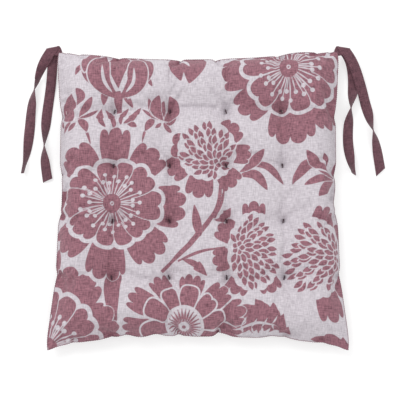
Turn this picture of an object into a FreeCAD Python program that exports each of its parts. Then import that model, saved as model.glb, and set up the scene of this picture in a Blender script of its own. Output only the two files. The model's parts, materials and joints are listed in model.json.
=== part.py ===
import FreeCAD, Part
import math
import os
import Sketcher

# Tufted chair seat pad with two ribbon ties at each rear corner.
# Millimetres, +Z up. The origin is the middle of the underside, which rests on the seat;
# the front edge is towards -Y and the tied edge towards +Y.

SIZES = [
    ("cover_width", 394, "finished cover, seam to seam, left to right"),
    ("cover_depth", 406, "finished cover, seam to seam, front to rear"),
    ("corner_radius", 10, "turned corner of the cover at the seam"),
    ("seam_height", 16, "middle of the edge seam above the seat"),
    ("crown_rise", 26, "crown above the edge seam"),
    ("shoulder", 55, "distance in from the seam at which the crown levels out"),
    ("cloth", 0.8, "woven cover cloth"),
    ("seam_thread", 1, "lockstitched edge seam between the two panels"),
    ("seam_allowance", 10, "turned-in cloth that keeps the filling off the seam"),
    ("fill_gap", 0.2, "filling to cover"),
    ("tuft_pitch_across", 76, "tufts, left to right"),
    ("tuft_pitch_along", 76, "tufts, front to rear"),
    ("tuft_thread", 1.6, "doubled tufting twine"),
    ("tuft_bar", 5, "visible stitch on each face"),
    ("tuft_play", 0.2, "twine to the hole that it pulls through"),
    ("dimple_radius", 24, "reach of the hollow that a tuft pulls in"),
    ("dimple_top", 9, "depth of the hollow in the top"),
    ("dimple_base", 5, "depth of the hollow in the underside"),
    ("closing_length", 130, "hand-closed stuffing opening in the rear edge"),
    ("closing_drop", 3, "closing stitches below the edge seam"),
    ("tie_width", 14, "ribbon tie"),
    ("tie_cloth", 1.2, "folded and stitched ribbon"),
    ("tie_gap", 0.3, "between the layers of ribbon at the fold"),
    ("tie_lift", 0.4, "outer tail over the inner tail where both lie down"),
    ("root_length", 13.6, "fold of the ribbon to its end in the seam"),
    ("root_angle", 36, "root of the ribbon to the rear edge"),
    ("fold_out", 5, "fold of the ribbon beyond the side of the cover"),
    ("fold_back", 6, "fold of the ribbon beyond the rear of the cover"),
]

TUFT_ROWS = 4
TUFT_COLUMNS = 4
LOFT_STEPS = 4

# How far out from the middle the folds of the ribbons are. The routes below were chosen with a
# 14 mm ribbon, and half of what a wider one adds moves the folds and the tails out from the cover.
FOLD_ACROSS = "(Sizes.cover_width / 2 + Sizes.fold_out + (Sizes.tie_width - 14) / 2)"

# Routes of the four tails from the fold: out from the side, forward along the side, and the
# share of the fold's height that is left. The ribbon falls to the seat and then lies along it.
TAILS = {
    "tie_left_inner": [
        (0, 0, 1), (1, 15, 1), (2, 33, 0.55), (4, 54, 0.12), (7, 80, 0),
        (9, 110, 0), (10, 140, 0), (8, 165, 0), (4, 186, 0),
    ],
    "tie_left_outer": [
        (0, 0, 1), (8, 13, 1), (18, 31, 0.6), (25, 52, 0.18), (29, 76, 0),
        (31, 104, 0), (32, 133, 0), (34, 156, 0), (38, 177, 0),
    ],
    "tie_right_inner": [
        (0, 0, 1), (9, 12, 1), (14, 30, 0.55), (15, 52, 0.12), (12, 76, 0),
        (7, 100, 0), (5, 124, 0), (6, 150, 0), (11, 178, 0),
    ],
    "tie_right_outer": [
        (0, 0, 1), (9, 12, 1), (18, 30, 0.6), (25, 52, 0.18), (31, 76, 0),
        (36, 100, 0), (42, 126, 0), (46, 150, 0), (49, 174, 0),
    ],
}
ARC_SHARE = 0.45

doc = FreeCAD.newDocument("seat_pad")


def write_sizes():
    sheet = doc.addObject("Spreadsheet::Sheet", "Sizes")
    for row, (alias, value, note) in enumerate(SIZES, start=1):
        sheet.set(f"A{row}", alias)
        sheet.set(f"B{row}", str(value))
        sheet.setAlias(f"B{row}", alias)
        sheet.set(f"C{row}", note)
    doc.recompute()
    return sheet


sizes = write_sizes()


def size(expression):
    """The number that an expression on the sheet gives."""
    return float(sizes.evalExpression(expression))


def bind(item, **expressions):
    for name, expression in expressions.items():
        item.setExpression(name.replace("__", "."), expression)


# ---------------------------------------------------------------- sketches and bodies

def new_body(label):
    body = doc.addObject("PartDesign::Body", label)
    body.Label = label
    return body


def level_sketch(body, name, height):
    """A sketch parallel to the seat at a height given as an expression."""
    plane = next(f for f in body.Origin.OriginFeatures if f.Role == "XY_Plane")
    sketch = body.newObject("Sketcher::SketchObject", name)
    sketch.AttachmentSupport = (plane, [""])
    sketch.MapMode = "FlatFace"
    bind(sketch, AttachmentOffset__Base__z=height)
    return sketch


def named(sketch, name, constraint, expression):
    index = sketch.addConstraint(constraint)
    sketch.renameConstraint(index, name)
    sketch.setExpression(f"Constraints.{name}", expression)


def rounded_rectangle(sketch, label, width, depth, radius):
    """A rectangle about the sketch's origin with four equal rounded corners."""
    half_x = size(width) / 2
    half_y = size(depth) / 2
    round_by = size(radius)
    corners = [(half_x, -half_y), (half_x, half_y), (-half_x, half_y), (-half_x, -half_y)]
    sides = []
    arcs = []
    for index, (x, y) in enumerate(corners):
        back_x, back_y = corners[index - 1]
        length = math.hypot(x - back_x, y - back_y)
        step_x = (x - back_x) / length * round_by
        step_y = (y - back_y) / length * round_by
        start = FreeCAD.Vector(back_x + step_x, back_y + step_y, 0)
        end = FreeCAD.Vector(x - step_x, y - step_y, 0)
        sides.append(sketch.addGeometry(Part.LineSegment(start, end), False))
        turn = math.radians(-90 + 90 * index)
        centre = FreeCAD.Vector(x - math.copysign(round_by, x), y - math.copysign(round_by, y), 0)
        circle = Part.Circle(centre, FreeCAD.Vector(0, 0, 1), round_by)
        arc = Part.ArcOfCircle(circle, turn, turn + math.pi / 2)
        arcs.append(sketch.addGeometry(arc, False))
    for index in range(4):
        after = (index + 1) % 4
        sketch.addConstraint(Sketcher.Constraint("Tangent", sides[index], 2, arcs[index], 1))
        sketch.addConstraint(Sketcher.Constraint("Tangent", arcs[index], 2, sides[after], 1))
    for index in range(1, 4):
        sketch.addConstraint(Sketcher.Constraint("Equal", arcs[0], arcs[index]))
    sketch.addConstraint(Sketcher.Constraint("Horizontal", sides[2]))
    sketch.addConstraint(Sketcher.Constraint("Vertical", sides[3]))
    sketch.addConstraint(Sketcher.Constraint("Symmetric", sides[0], 1, sides[0], 2, -2))
    sketch.addConstraint(Sketcher.Constraint("Symmetric", sides[1], 1, sides[1], 2, -1))
    across = Sketcher.Constraint("DistanceX", sides[3], 1, sides[1], 1, 2 * half_x)
    along = Sketcher.Constraint("DistanceY", sides[0], 1, sides[2], 1, 2 * half_y)
    named(sketch, label + "_width", across, width)
    named(sketch, label + "_depth", along, depth)
    named(sketch, label + "_round", Sketcher.Constraint("Radius", arcs[0], round_by), radius)


def crowned_body(label, heights, steps, margin):
    """A cushion shape: rounded rectangles that draw in from the seam along a quarter ellipse.

    heights gives the seam end and the far end of the rise as expressions, for the steps above
    and below zero. margin is how far inside the cover's outline the shape starts.
    """
    body = new_body(label)
    sketches = []
    for step in steps:
        angle = f"{abs(step) * 90 / LOFT_STEPS} deg"
        seam_end, far_end = heights[1] if step > 0 else heights[0]
        height = f"({seam_end}) + (({far_end}) - ({seam_end})) * sin({angle})"
        inset = f"(({margin}) + (Sizes.shoulder - ({margin})) * (1 - cos({angle})))"
        name = f"{label}_level_{len(sketches)}"
        sketch = level_sketch(body, name, height)
        rounded_rectangle(
            sketch, "edge",
            f"Sizes.cover_width - 2 * {inset}",
            f"Sizes.cover_depth - 2 * {inset}",
            f"Sizes.corner_radius + {inset} / 2",
        )
        sketches.append(sketch)
    loft = body.newObject("PartDesign::AdditiveLoft", label + "_loft")
    loft.Profile = sketches[0]
    loft.Sections = sketches[1:]
    loft.Ruled = True
    return body


# ---------------------------------------------------------------- tufts

def tuft_places():
    for row in range(TUFT_ROWS):
        for column in range(TUFT_COLUMNS):
            across = f"Sizes.tuft_pitch_across * {column - (TUFT_COLUMNS - 1) / 2}"
            along = f"Sizes.tuft_pitch_along * {row - (TUFT_ROWS - 1) / 2}"
            yield row + 1, column + 1, across, along


def fuse(label, pieces):
    joined = doc.addObject("Part::MultiFuse", label)
    joined.Label = label
    joined.Shapes = pieces
    return joined


def cut(label, base, tool):
    result = doc.addObject("Part::Cut", label)
    result.Label = label
    result.Base = base
    result.Tool = tool
    return result


CROWN = "(Sizes.seam_height + Sizes.crown_rise)"
SEAT_RADIUS = "(Sizes.tuft_bar / 2 + Sizes.tuft_play)"


def dimple(label, across, along, shift, top):
    """The cone that a tuft pulls into one face; its flat end seats the stitch."""
    depth = "Sizes.dimple_top" if top else "Sizes.dimple_base"
    cone = doc.addObject("Part::Cone", label)
    narrow, wide = ("Radius1", "Radius2") if top else ("Radius2", "Radius1")
    bind(cone, Height=depth, Placement__Base__x=across, Placement__Base__y=along)
    cone.setExpression(narrow, SEAT_RADIUS)
    cone.setExpression(wide, "Sizes.dimple_radius")
    if top:
        bind(cone, Placement__Base__z=f"{CROWN} - {depth} - ({shift})")
    else:
        bind(cone, Placement__Base__z=shift)
    return cone


def tuft_hollows(label, shift, bored):
    """All the hollows of one layer, and the twine's holes where the layer is bored."""
    tools = []
    for row, column, across, along in tuft_places():
        tag = f"{label}_{row}_{column}"
        tools.append(dimple(tag + "_top", across, along, shift, True))
        tools.append(dimple(tag + "_base", across, along, shift, False))
        if bored:
            hole = doc.addObject("Part::Cylinder", tag + "_hole")
            bind(
                hole, Radius="Sizes.tuft_thread / 2 + Sizes.tuft_play", Height=CROWN,
                Placement__Base__x=across, Placement__Base__y=along,
            )
            tools.append(hole)
    return fuse(label, tools)


def tuft_stitch(row, column, across, along):
    """Twine through the pad, with the short bar that shows on each face."""
    label = f"tuft_stitch_{row}_{column}"
    twine = doc.addObject("Part::Cylinder", label + "_twine")
    bind(
        twine, Radius="Sizes.tuft_thread / 2",
        Height=f"{CROWN} - Sizes.dimple_top - Sizes.dimple_base",
        Placement__Base__z="Sizes.dimple_base",
    )
    bars = []
    low = "Sizes.dimple_base - Sizes.tuft_thread"
    high = f"{CROWN} - Sizes.dimple_top"
    for face, height in (("base", low), ("top", high)):
        bar = doc.addObject("Part::Box", f"{label}_{face}_bar")
        bind(
            bar, Length="Sizes.tuft_thread", Width="Sizes.tuft_bar", Height="Sizes.tuft_thread",
            Placement__Base__x="-Sizes.tuft_thread / 2", Placement__Base__y="-Sizes.tuft_bar / 2",
            Placement__Base__z=height,
        )
        bars.append(bar)
    stitch = fuse(label, [twine] + bars)
    bind(stitch, Placement__Base__x=across, Placement__Base__y=along)
    return stitch


# ---------------------------------------------------------------- edge seam and ties

def edge_seam():
    """The line of stitching that closes the two panels all round."""
    body = new_body("edge_seam")
    sketch = level_sketch(body, "edge_seam_line", "Sizes.seam_height - Sizes.seam_thread / 2")
    rounded_rectangle(sketch, "outer", "Sizes.cover_width", "Sizes.cover_depth", "Sizes.corner_radius")
    rounded_rectangle(
        sketch, "inner",
        "Sizes.cover_width - 2 * Sizes.seam_thread",
        "Sizes.cover_depth - 2 * Sizes.seam_thread",
        "Sizes.corner_radius - Sizes.seam_thread",
    )
    pad = body.newObject("PartDesign::Pad", "edge_seam_pad")
    pad.Profile = sketch
    bind(pad, Length="Sizes.seam_thread")
    return body


def closing_stitch():
    """The hand-sewn line that closes the stuffing opening, on the lower panel below the seam."""
    line = doc.addObject("Part::Box", "closing_stitch")
    line.Label = "closing_stitch"
    first_inset = f"Sizes.shoulder * (1 - cos({90 / LOFT_STEPS} deg))"
    first_drop = f"(Sizes.seam_height - Sizes.seam_thread / 2) * sin({90 / LOFT_STEPS} deg)"
    inset_there = f"{first_inset} * (Sizes.closing_drop - Sizes.seam_thread / 2) / ({first_drop})"
    bind(
        line, Length="Sizes.closing_length", Width="Sizes.seam_thread", Height="Sizes.seam_thread",
        Placement__Base__x="-Sizes.closing_length / 2",
        Placement__Base__y=f"Sizes.cover_depth / 2 - {inset_there}",
        Placement__Base__z="Sizes.seam_height - Sizes.closing_drop - Sizes.seam_thread",
    )
    return line


def tie_root_tab(side, sign):
    """The doubled middle of a ribbon, from its fold into the rear seam beside the corner."""
    body = new_body(f"{side}_root_tab")
    sketch = level_sketch(body, f"{side}_root_outline", "-Sizes.tie_cloth")
    half = size("Sizes.tie_width / 2")
    long = size("Sizes.root_length")
    vector = FreeCAD.Vector
    up = vector(0, 0, 1)
    right_angle = math.pi / 2
    fold = sketch.addGeometry(
        Part.ArcOfCircle(Part.Circle(vector(0, 0, 0), up, half), right_angle, 3 * right_angle), False
    )
    lower = sketch.addGeometry(Part.LineSegment(vector(0, -half, 0), vector(long, -half, 0)), False)
    sewn = sketch.addGeometry(
        Part.ArcOfCircle(Part.Circle(vector(long, 0, 0), up, half), -right_angle, right_angle), False
    )
    upper = sketch.addGeometry(Part.LineSegment(vector(long, half, 0), vector(0, half, 0)), False)
    sketch.addConstraint(Sketcher.Constraint("Coincident", fold, 3, -1, 1))
    sketch.addConstraint(Sketcher.Constraint("Tangent", fold, 2, lower, 1))
    sketch.addConstraint(Sketcher.Constraint("Tangent", lower, 2, sewn, 1))
    sketch.addConstraint(Sketcher.Constraint("Tangent", sewn, 2, upper, 1))
    sketch.addConstraint(Sketcher.Constraint("Tangent", upper, 2, fold, 1))
    sketch.addConstraint(Sketcher.Constraint("Horizontal", lower))
    named(sketch, "half_width", Sketcher.Constraint("Radius", fold, half), "Sizes.tie_width / 2")
    reach = Sketcher.Constraint("DistanceX", fold, 3, sewn, 3, long)
    named(sketch, "reach", reach, "Sizes.root_length")
    pad = body.newObject("PartDesign::Pad", f"{side}_root_pad")
    pad.Profile = sketch
    bind(pad, Length="2 * Sizes.tie_cloth")
    body.Placement.Rotation = FreeCAD.Rotation(up, 1)
    angle = "-Sizes.root_angle" if sign < 0 else "180 + Sizes.root_angle"
    bind(
        body, Placement__Rotation__Angle=angle,
        Placement__Base__x=f"{sign} * {FOLD_ACROSS}",
        Placement__Base__y="Sizes.cover_depth / 2 + Sizes.fold_back",
        Placement__Base__z="Sizes.seam_height",
    )
    return body


def rounded_route(points):
    """Straight runs joined by tangent arcs, each as large as its two runs allow."""
    edges = []
    radii = []
    start = points[0]
    for before, here, after in zip(points, points[1:], points[2:]):
        back = (before - here).normalize()
        ahead = (after - here).normalize()
        half_turn = (math.pi - back.getAngle(ahead)) / 2
        reach = ARC_SHARE * min(before.distanceToPoint(here), here.distanceToPoint(after))
        radius = reach / math.tan(half_turn)
        entry = here + back * reach
        leave = here + ahead * reach
        inward = (back + ahead).normalize()
        middle = here + inward * (radius / math.cos(half_turn) - radius)
        edges.append(Part.LineSegment(start, entry).toShape())
        edges.append(Part.Arc(entry, middle, leave).toShape())
        radii.append(radius)
        start = leave
    edges.append(Part.LineSegment(start, points[-1]).toShape())
    return Part.Wire(edges), radii


def tie_tail(label, route):
    """One ribbon tail: a flat strip along its route, with a rounded end at the fold."""
    sign = -1 if "left" in label else 1
    inner = "inner" in label
    width = size("Sizes.tie_width")
    thick = size("Sizes.tie_cloth")
    layer_step = size("1.5 * Sizes.tie_cloth + Sizes.tie_gap")
    fold_height = size("Sizes.seam_height") + (-layer_step if inner else layer_step)
    lying = thick / 2 if inner else thick * 1.5 + size("Sizes.tie_lift")
    fold_x = sign * size(FOLD_ACROSS)
    fold_y = size("Sizes.cover_depth / 2 + Sizes.fold_back")
    points = [
        FreeCAD.Vector(
            fold_x + sign * out, fold_y - forward, lying + share * (fold_height - lying)
        )
        for out, forward, share in route
    ]
    path, radii = rounded_route(points)
    along = (points[1] - points[0]).normalize()
    upward = FreeCAD.Vector(0, 0, 1)
    across = upward.cross(along) * (width / 2)
    lift = upward * (thick / 2)
    section = Part.makePolygon([
        points[0] - across - lift, points[0] + across - lift,
        points[0] + across + lift, points[0] - across + lift, points[0] - across - lift,
    ])
    sweep = Part.BRepOffsetAPI.MakePipeShell(path)
    sweep.setBiNormalMode(upward)
    sweep.add(section, False, False)
    sweep.build()
    sweep.makeSolid()
    strip = sweep.shape()
    ideal = width * thick * path.Length
    print(
        f"{label}: length {path.Length:.1f}, volume {strip.Volume / ideal:.4f} of section x length,",
        "radii", [round(radius) for radius in radii],
    )
    fold_end = Part.makeCylinder(width / 2, thick, points[0] - lift, upward)
    tail = doc.addObject("Part::Feature", label)
    tail.Label = label
    tail.Shape = strip.fuse(fold_end).removeSplitter()
    return tail


# ---------------------------------------------------------------- assembly

def build():
    shell_top = ("Sizes.seam_height + Sizes.seam_thread / 2", CROWN)
    shell_base = ("Sizes.seam_height - Sizes.seam_thread / 2", "0")
    space_top = (shell_top[0], f"{CROWN} - Sizes.cloth")
    space_base = (shell_base[0], "Sizes.cloth")
    fill_top = ("Sizes.seam_height", f"{CROWN} - Sizes.cloth - Sizes.fill_gap")
    fill_base = ("Sizes.seam_height", "Sizes.cloth + Sizes.fill_gap")
    half = range(LOFT_STEPS + 1)

    outer_hollows = tuft_hollows("outer_hollows", "0", True)
    inner_dimples = tuft_hollows("inner_dimples", "Sizes.cloth", False)
    fill_hollows = tuft_hollows("fill_hollows", "Sizes.cloth + Sizes.fill_gap", True)

    tabs = [tie_root_tab("left", -1), tie_root_tab("right", 1)]
    both_tabs = fuse("both_root_tabs", tabs)
    seam = edge_seam()

    pieces = []
    for label, outside, space in (
        ("top_cover", shell_top, space_top), ("base_cover", shell_base, space_base),
    ):
        skin = crowned_body(label + "_skin", (outside, outside), half, "0")
        hollow = crowned_body(label + "_space", (space, space), half, "Sizes.cloth")
        tufted = cut(label + "_tufted", skin, outer_hollows)
        room = cut(label + "_room", hollow, inner_dimples)
        sewn = cut(label + "_sewn", tufted, room)
        pieces.append(cut(label, sewn, both_tabs))

    wadding = crowned_body(
        "wadding", (fill_base, fill_top), range(-LOFT_STEPS, LOFT_STEPS + 1), "Sizes.seam_allowance"
    )
    pieces.append(cut("filling", wadding, fill_hollows))
    pieces.append(seam)
    pieces.append(closing_stitch())
    for place in tuft_places():
        pieces.append(tuft_stitch(*place))
    for side, tab in zip(("left", "right"), tabs):
        pieces.append(cut(f"tie_{side}_root", tab, seam))
    doc.recompute()
    for label, route in TAILS.items():
        pieces.append(tie_tail(label, route))
    doc.recompute()
    return pieces


def check_and_export(pieces):
    for item in doc.Objects:
        if "Invalid" in item.State or "Error" in item.State:
            raise RuntimeError(f"{item.Label} failed: {item.State}")
    for piece in pieces:
        if piece.Shape.isNull() or not piece.Shape.isValid():
            raise RuntimeError(f"{piece.Label} has no valid shape")
    os.makedirs("parts", exist_ok=True)
    for piece in pieces:
        piece.Shape.exportStep(f"parts/{piece.Label}.step")
        print(f"{piece.Label}: {len(piece.Shape.Solids)} solid, {piece.Shape.Volume:.1f} mm3")


check_and_export(build())
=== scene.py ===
import json
import math

import bpy
import numpy as np
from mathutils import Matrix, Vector


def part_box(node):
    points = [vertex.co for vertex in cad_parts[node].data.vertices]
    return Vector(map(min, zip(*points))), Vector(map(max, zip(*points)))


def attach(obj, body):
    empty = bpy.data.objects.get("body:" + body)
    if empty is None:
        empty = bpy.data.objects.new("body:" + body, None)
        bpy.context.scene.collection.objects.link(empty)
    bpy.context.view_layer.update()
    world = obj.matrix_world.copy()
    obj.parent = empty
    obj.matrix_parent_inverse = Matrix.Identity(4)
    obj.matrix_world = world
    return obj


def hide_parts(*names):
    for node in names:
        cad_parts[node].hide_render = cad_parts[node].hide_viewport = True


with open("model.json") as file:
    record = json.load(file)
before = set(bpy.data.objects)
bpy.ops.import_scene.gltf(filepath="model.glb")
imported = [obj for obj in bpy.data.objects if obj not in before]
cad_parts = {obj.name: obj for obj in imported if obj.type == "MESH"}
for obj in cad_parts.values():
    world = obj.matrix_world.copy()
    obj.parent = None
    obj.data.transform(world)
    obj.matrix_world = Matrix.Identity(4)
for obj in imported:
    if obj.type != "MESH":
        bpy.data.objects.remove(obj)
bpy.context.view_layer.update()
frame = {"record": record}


# ---- Camera
# A studio camera almost straight above the pad, a little towards the front edge, with a long lens
# so that the far edge is only slightly narrower than the near one.
CAMERA_AIM = Vector((0.0027, -0.008, 0.02))
CAMERA_HEIGHT_ANGLE = math.radians(78)
CAMERA_DISTANCE = 1.4
VIEW_WIDTH = 0.539

camera_data = bpy.data.cameras.new("studio_camera")
camera_data.sensor_width = 36
camera_data.lens = camera_data.sensor_width * CAMERA_DISTANCE / VIEW_WIDTH
camera_data.clip_end = 20
camera = bpy.data.objects.new("studio_camera", camera_data)
towards_camera = Vector((0, -math.cos(CAMERA_HEIGHT_ANGLE), math.sin(CAMERA_HEIGHT_ANGLE)))
camera.location = CAMERA_AIM + towards_camera * CAMERA_DISTANCE
camera.rotation_euler = towards_camera.to_track_quat("Z", "Y").to_euler()
bpy.context.scene.collection.objects.link(camera)
bpy.context.scene.camera = camera
bpy.context.scene.view_settings.view_transform = "Standard"


# ---- Ribbon roots
# Each tie is one strip of plain dark mauve cotton, folded lengthwise and stitched, then folded at
# its middle. The doubled middle is gathered into the rear seam beside a corner, and shows from
# the seam out to the fold.
TIE_WIDTH = 0.014
TIE_CLOTH = 0.0012
TIE_LAYER_GAP = 0.0003
ROOT_WAY = np.array([0.809, 0.588, 0.0])     # from the seam to the fold, on the right hand
ROOT_LENGTH = 0.0165
ROOT_CLOTH = 0.96 * TIE_CLOTH   # each layer, so that the two don't meet in one plane
ROOT_DROP = 0.0022      # how far the gathered end goes down between the two panels
THREAD_PITCH = 0.0009   # real cotton is about 0.45 mm a thread, drawn twice as coarse so that it shows


def linear(colour):
    """An sRGB hex colour as linear red, green, blue and alpha."""
    channels = [int(colour[i:i + 2], 16) / 255 for i in (1, 3, 5)]
    return [c / 12.92 if c <= 0.04045 else ((c + 0.055) / 1.055) ** 2.4 for c in channels] + [1]


def add(tree, kind, links=None, **settings):
    """Adds a shader node with its settings, and sets or links its inputs."""
    node = tree.nodes.new("ShaderNode" + kind)
    for name, value in settings.items():
        setattr(node, name, value)
    for socket, value in (links or {}).items():
        if isinstance(value, bpy.types.NodeSocket):
            tree.links.new(value, node.inputs[socket])
        else:
            node.inputs[socket].default_value = value
    return node


def new_material(name):
    material = bpy.data.materials.new(name)
    material.use_nodes = True
    material.node_tree.nodes.clear()
    return material, material.node_tree


def woven_height(tree, flat, pitch):
    """The over-and-under height of a plain weave, from flat cloth coordinates in metres."""
    axes = add(tree, "SeparateXYZ", {0: flat})
    waves = []
    for axis in ("X", "Y"):
        scaled = add(tree, "Math", {0: axes.outputs[axis], 1: math.pi / pitch}, operation="MULTIPLY")
        waves.append(add(tree, "Math", {0: scaled.outputs[0]}, operation="SINE"))
    crossed = add(tree, "Math", {0: waves[0].outputs[0], 1: waves[1].outputs[0]}, operation="MULTIPLY")
    return add(tree, "Math", {0: crossed.outputs[0]}, operation="ABSOLUTE").outputs[0]


def slubs(tree, flat, pitch, length):
    """Thick and thin places in the yarn: noise drawn out along each thread direction, 0 to 1."""
    runs = []
    for stretch in ((1 / length, 1 / pitch, 1), (1 / pitch, 1 / length, 1)):
        along = add(tree, "VectorMath", {0: flat, 1: stretch}, operation="MULTIPLY")
        runs.append(add(tree, "TexNoise", {"Vector": along.outputs[0], "Scale": 1.0, "Detail": 2.0}))
    both = add(tree, "Math", {0: runs[0].outputs[0], 1: runs[1].outputs[0]}, operation="ADD")
    return add(tree, "Math", {0: both.outputs[0], 1: 0.5}, operation="MULTIPLY").outputs[0]


def woven_surface(tree, tint, weave, uneven, thread_shade_range, relief_strength, sheen):
    """Finishes a woven cloth: matt, darker between its threads with painted shade and lighter on their
    crowns with painted light, with thread relief and fuzz.
    """
    # painted shade and light: the weave height scales the colour, low in the hollows between threads and
    # high on their crowns
    thread = add(tree, "MapRange", {0: weave, 1: 0.0, 2: 1.0, 3: thread_shade_range[0], 4: thread_shade_range[1]})
    colour = add(tree, "MixRGB", {0: 1.0, 1: tint, 2: thread.outputs[0]}, blend_type="MULTIPLY")
    relief = add(tree, "Math", {0: weave, 1: uneven}, operation="ADD")
    bump = add(tree, "Bump", {
        "Height": relief.outputs[0], "Strength": relief_strength, "Distance": 0.0003,
    })
    cloth = add(tree, "BsdfPrincipled", {
        "Base Color": colour.outputs[0], "Roughness": 0.9, "IOR": 1.46,
        "Sheen Weight": sheen, "Sheen Roughness": 0.5, "Normal": bump.outputs[0],
    })
    add(tree, "OutputMaterial", {0: cloth.outputs[0]})


def plain_cotton(name, dark, light, pitch):
    """Plain-woven cotton, piece dyed: even in colour apart from its slubs and the painted shade between
    its threads, and a little fuzzy.
    """
    material, tree = new_material(name)
    flat = add(tree, "UVMap", uv_map="cloth").outputs[0]
    weave = woven_height(tree, flat, pitch)
    uneven = slubs(tree, flat, 1.5 * pitch, 9 * pitch)
    shade = add(tree, "MapRange", {0: uneven, 1: 0.3, 2: 0.7, 3: 0.0, 4: 1.0})
    tint = add(tree, "MixRGB", {0: shade.outputs[0], 1: linear(dark), 2: linear(light)})
    # painted thread shade: 0.7 of the colour in the hollows between threads, 1.12 on their crowns
    woven_surface(tree, tint.outputs[0], weave, uneven, (0.7, 1.12), 0.5, 0.15)
    return material


ribbon_cotton = plain_cotton("plain_cotton_ribbon", "#432832", "#825661", THREAD_PITCH)


def distance_along(line):
    return np.concatenate([[0], np.cumsum(np.linalg.norm(np.diff(line, axis=0), axis=1))])


def even_spacing(line, step):
    reach = distance_along(line)
    at = np.linspace(0, reach[-1], max(2, round(reach[-1] / step)) + 1)
    return np.stack([np.interp(at, reach, line[:, axis]) for axis in range(3)], axis=1)


def unit(vectors):
    return vectors / np.linalg.norm(vectors, axis=-1, keepdims=True)


def fold_line(arriving, leaving, width):
    """Half of the crease, as a vector, where a flat ribbon turns from one way to another."""
    crease = unit(arriving + leaving)
    return crease * (width / 2) / abs(np.cross(arriving[:2], crease[:2]))


def grid_mesh(name, sheets, closed_across=False):
    """One mesh of quads over grids of points, with flat cloth coordinates in metres as its UV map."""
    mesh = bpy.data.meshes.new(name)
    places, cells, flats, ends = [], [], [], []
    first = 0
    for points, cloth in sheets:
        rows, columns = points.shape[:2]
        index = first + np.arange(rows * columns).reshape(rows, columns)
        if closed_across:
            ends += [index[0, ::-1].tolist(), index[-1].tolist()]
            index = np.concatenate([index, index[:, :1]], axis=1)
            step = cloth[:, -1:] - cloth[:, -2:-1]
            cloth = np.concatenate([cloth, cloth[:, -1:] + step], axis=1)
        for grid, corners in ((index, cells), (cloth, flats)):
            corners.append(np.stack([grid[:-1, :-1], grid[1:, :-1], grid[1:, 1:], grid[:-1, 1:]], axis=2))
        places.append(points.reshape(-1, 3))
        first += rows * columns
    faces = np.vstack([part.reshape(-1, 4) for part in cells]).tolist()
    flat = np.vstack([part.reshape(-1, 2) for part in flats])
    for end in ends:
        flat = np.vstack([flat, np.stack([np.linspace(0, 0.01, len(end)), np.zeros(len(end))], axis=1)])
    mesh.from_pydata(np.vstack(places).tolist(), [], faces + ends)
    mesh.uv_layers.new(name="cloth").data.foreach_set("uv", flat.astype(np.float32).ravel())
    mesh.polygons.foreach_set("use_smooth", [True] * len(mesh.polygons))
    mesh.update()
    piece = bpy.data.objects.new(name, mesh)
    bpy.context.scene.collection.objects.link(piece)
    return piece


def strip_sides(line, twist, width):
    """Half-width vectors of a flat strip along a line, turned about it by a twist at each point."""
    along = unit(np.gradient(line, axis=0))
    across = unit(np.cross(np.array([0.0, 0.0, 1.0]), along))
    up = np.cross(along, across)
    turn = twist[:, None]
    return (across * np.cos(turn) + up * np.sin(turn)) * (width / 2)


STRIP_SIDES = 32
STITCH_ROW = 0.78       # of the half width: a row of stitches along each edge presses the strip thin


def strip(line, side, thickness, end_slant=0.0, crown=0.0):
    """The surface of a folded, edge-stitched strip round its centreline, and its cloth coordinates.

    Its section is a flat oval with blunt edges. Where it lies flat its middle is a crown higher.
    """
    along = unit(np.gradient(line, axis=0))
    face = unit(np.cross(along, side))
    reach = distance_along(line)
    slant = np.clip(1 - (reach[-1] - reach) / TIE_WIDTH, 0, 1)[:, None] * end_slant
    outline, cloth = [], []
    for index in range(STRIP_SIDES):
        angle = 2 * math.pi * index / STRIP_SIDES
        x = math.copysign(abs(math.cos(angle)) ** 0.35, math.cos(angle))
        z = math.copysign(abs(math.sin(angle)) ** 0.6, math.sin(angle))
        stitched = math.exp(-((abs(x) - STITCH_ROW) / 0.07) ** 2)
        height = z * thickness / 2 * (1 - 0.4 * stitched)
        height = height + crown * (1 - x * x) * face[:, 2:]
        outline.append(line + side * x + face * height + along * slant * x)
        round_it = (x + 2.2 * (z < 0)) * TIE_WIDTH / 2
        cloth.append(np.stack([reach, np.full_like(reach, round_it)], axis=1))
    return np.stack(outline, axis=1), np.stack(cloth, axis=1)


def smooth_step(x):
    x = np.clip(x, 0, 1)
    return x * x * (3 - 2 * x)


folds = {joint["child"]: joint["pos_m"] for joint in frame["record"]["behaviour"]["joints"]}
for hand, outward in (("left", -1), ("right", 1)):
    fold = np.array(folds[f"tie_{hand}_inner"])
    arriving = ROOT_WAY * (outward, 1, 1)
    share = np.linspace(0, 1, 15)[:, None]
    layers = []
    for layer in (-1, 1):
        line = fold + (share - 1) * ROOT_LENGTH * arriving + np.array([0, 0, layer * TIE_CLOTH / 2])
        line[:, 2:] -= ROOT_DROP * (1 - smooth_step(share / 0.5))
        side = strip_sides(line, np.zeros(len(line)), TIE_WIDTH)
        # the tails leave almost straight forward, and the crease lies halfway between the two ways
        leaving = np.array([outward * 0.1, -0.995, 0])
        crease = fold_line(arriving, leaving, TIE_WIDTH)
        crease = crease * np.sign(np.dot(crease, side[0]))
        blend = np.clip((share - 0.45) / 0.55, 0, 1) ** 1.5
        pinched = 0.3 + 0.7 * smooth_step(share / 0.6)
        layers.append(strip(line, (side * (1 - blend) + crease * blend) * pinched, ROOT_CLOTH))
    root = grid_mesh(f"tie_{hand}_root_ribbon", layers, closed_across=True)
    root.data.materials.append(ribbon_cotton)
    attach(root, "pad")
    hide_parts(f"tie_{hand}_root")


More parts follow.
